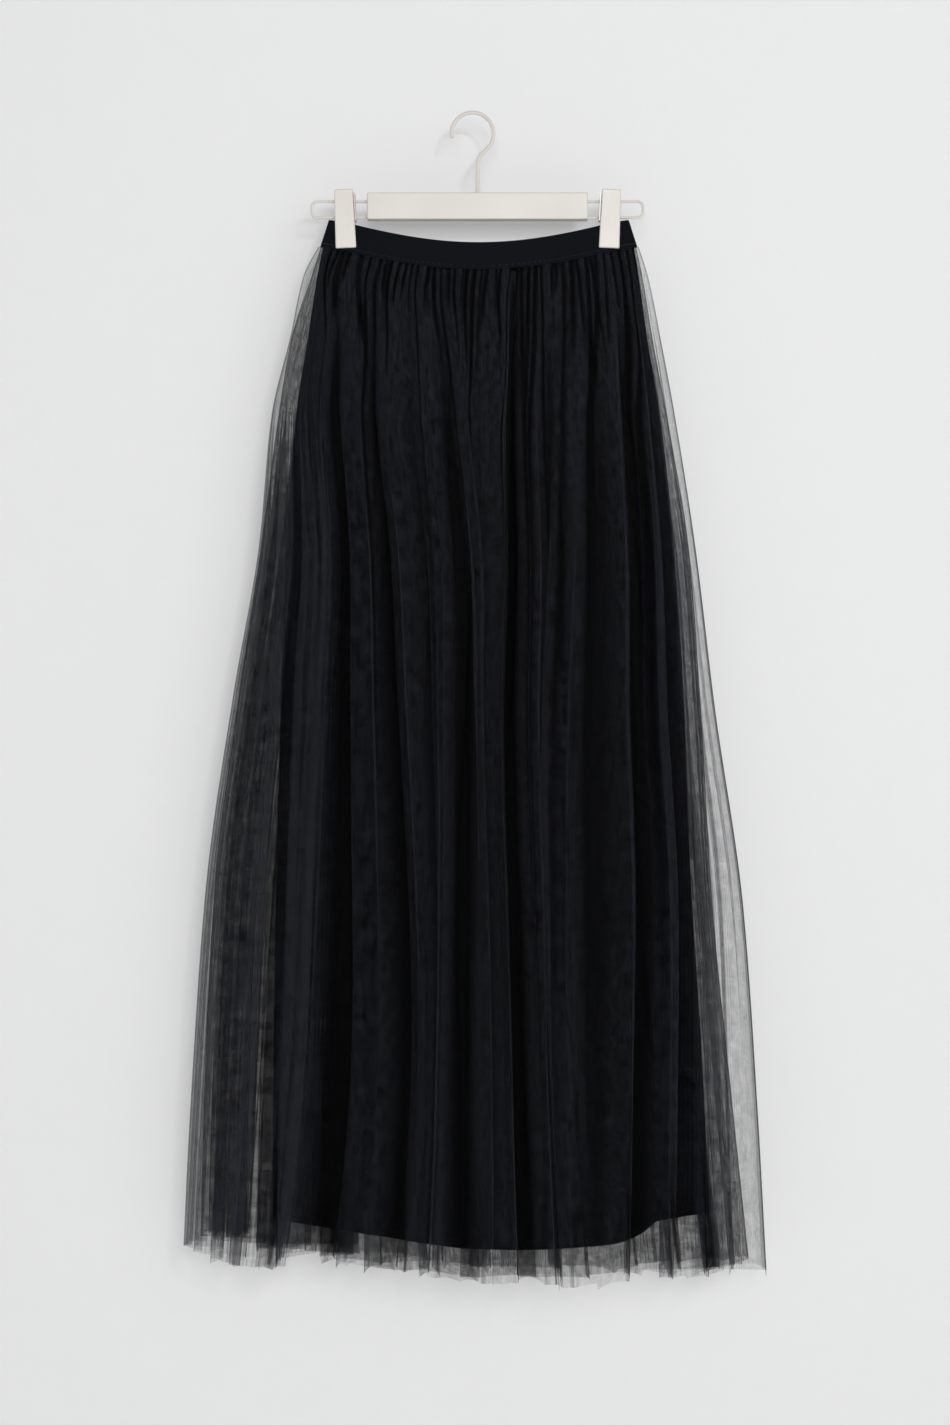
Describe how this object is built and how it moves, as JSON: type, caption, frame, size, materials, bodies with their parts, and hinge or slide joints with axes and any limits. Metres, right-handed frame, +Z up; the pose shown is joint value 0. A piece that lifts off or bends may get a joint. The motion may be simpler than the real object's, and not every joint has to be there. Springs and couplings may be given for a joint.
{
  "type": "tulle skirt on clip hanger",
  "caption": "Long black tulle skirt, two gathered net layers over an opaque slip on an elastic band, held flat by a cream clip hanger with a wire hook.",
  "frame": {"origin": "underside of the hook's crown, where a peg or rail holds the hanger", "axes": "+Z up; the front of the skirt looks towards -Y; +X to the right of someone who looks at the front"},
  "size_m": [0.5842, 0.1134, 1.1648],
  "materials": {
    "tulle": "fine see-through net, matt with a faint sheen on the folds",
    "lining": "opaque smooth woven slip cloth",
    "elastic": "ribbed woven elastic",
    "cream_plastic": "satin cream moulding",
    "cream_wire": "satin cream paint on wire",
    "dark_steel": "dark spring steel"
  },
  "bodies": {
    "root": {"waistband": "elastic", "tulle_outer_front": "tulle", "tulle_outer_back": "tulle", "tulle_inner_front": "tulle", "tulle_inner_back": "tulle", "lining_front": "lining", "lining_back": "lining", "hanger_bar": "cream_plastic", "hanger_hook": "cream_wire", "loop_left": "cream_wire", "loop_right": "cream_wire", "clip_left_front": "cream_plastic", "clip_left_back": "cream_plastic", "clip_right_front": "cream_plastic", "clip_right_back": "cream_plastic", "clip_left_spring": "dark_steel", "clip_right_spring": "dark_steel"}
  },
  "joints": []
}
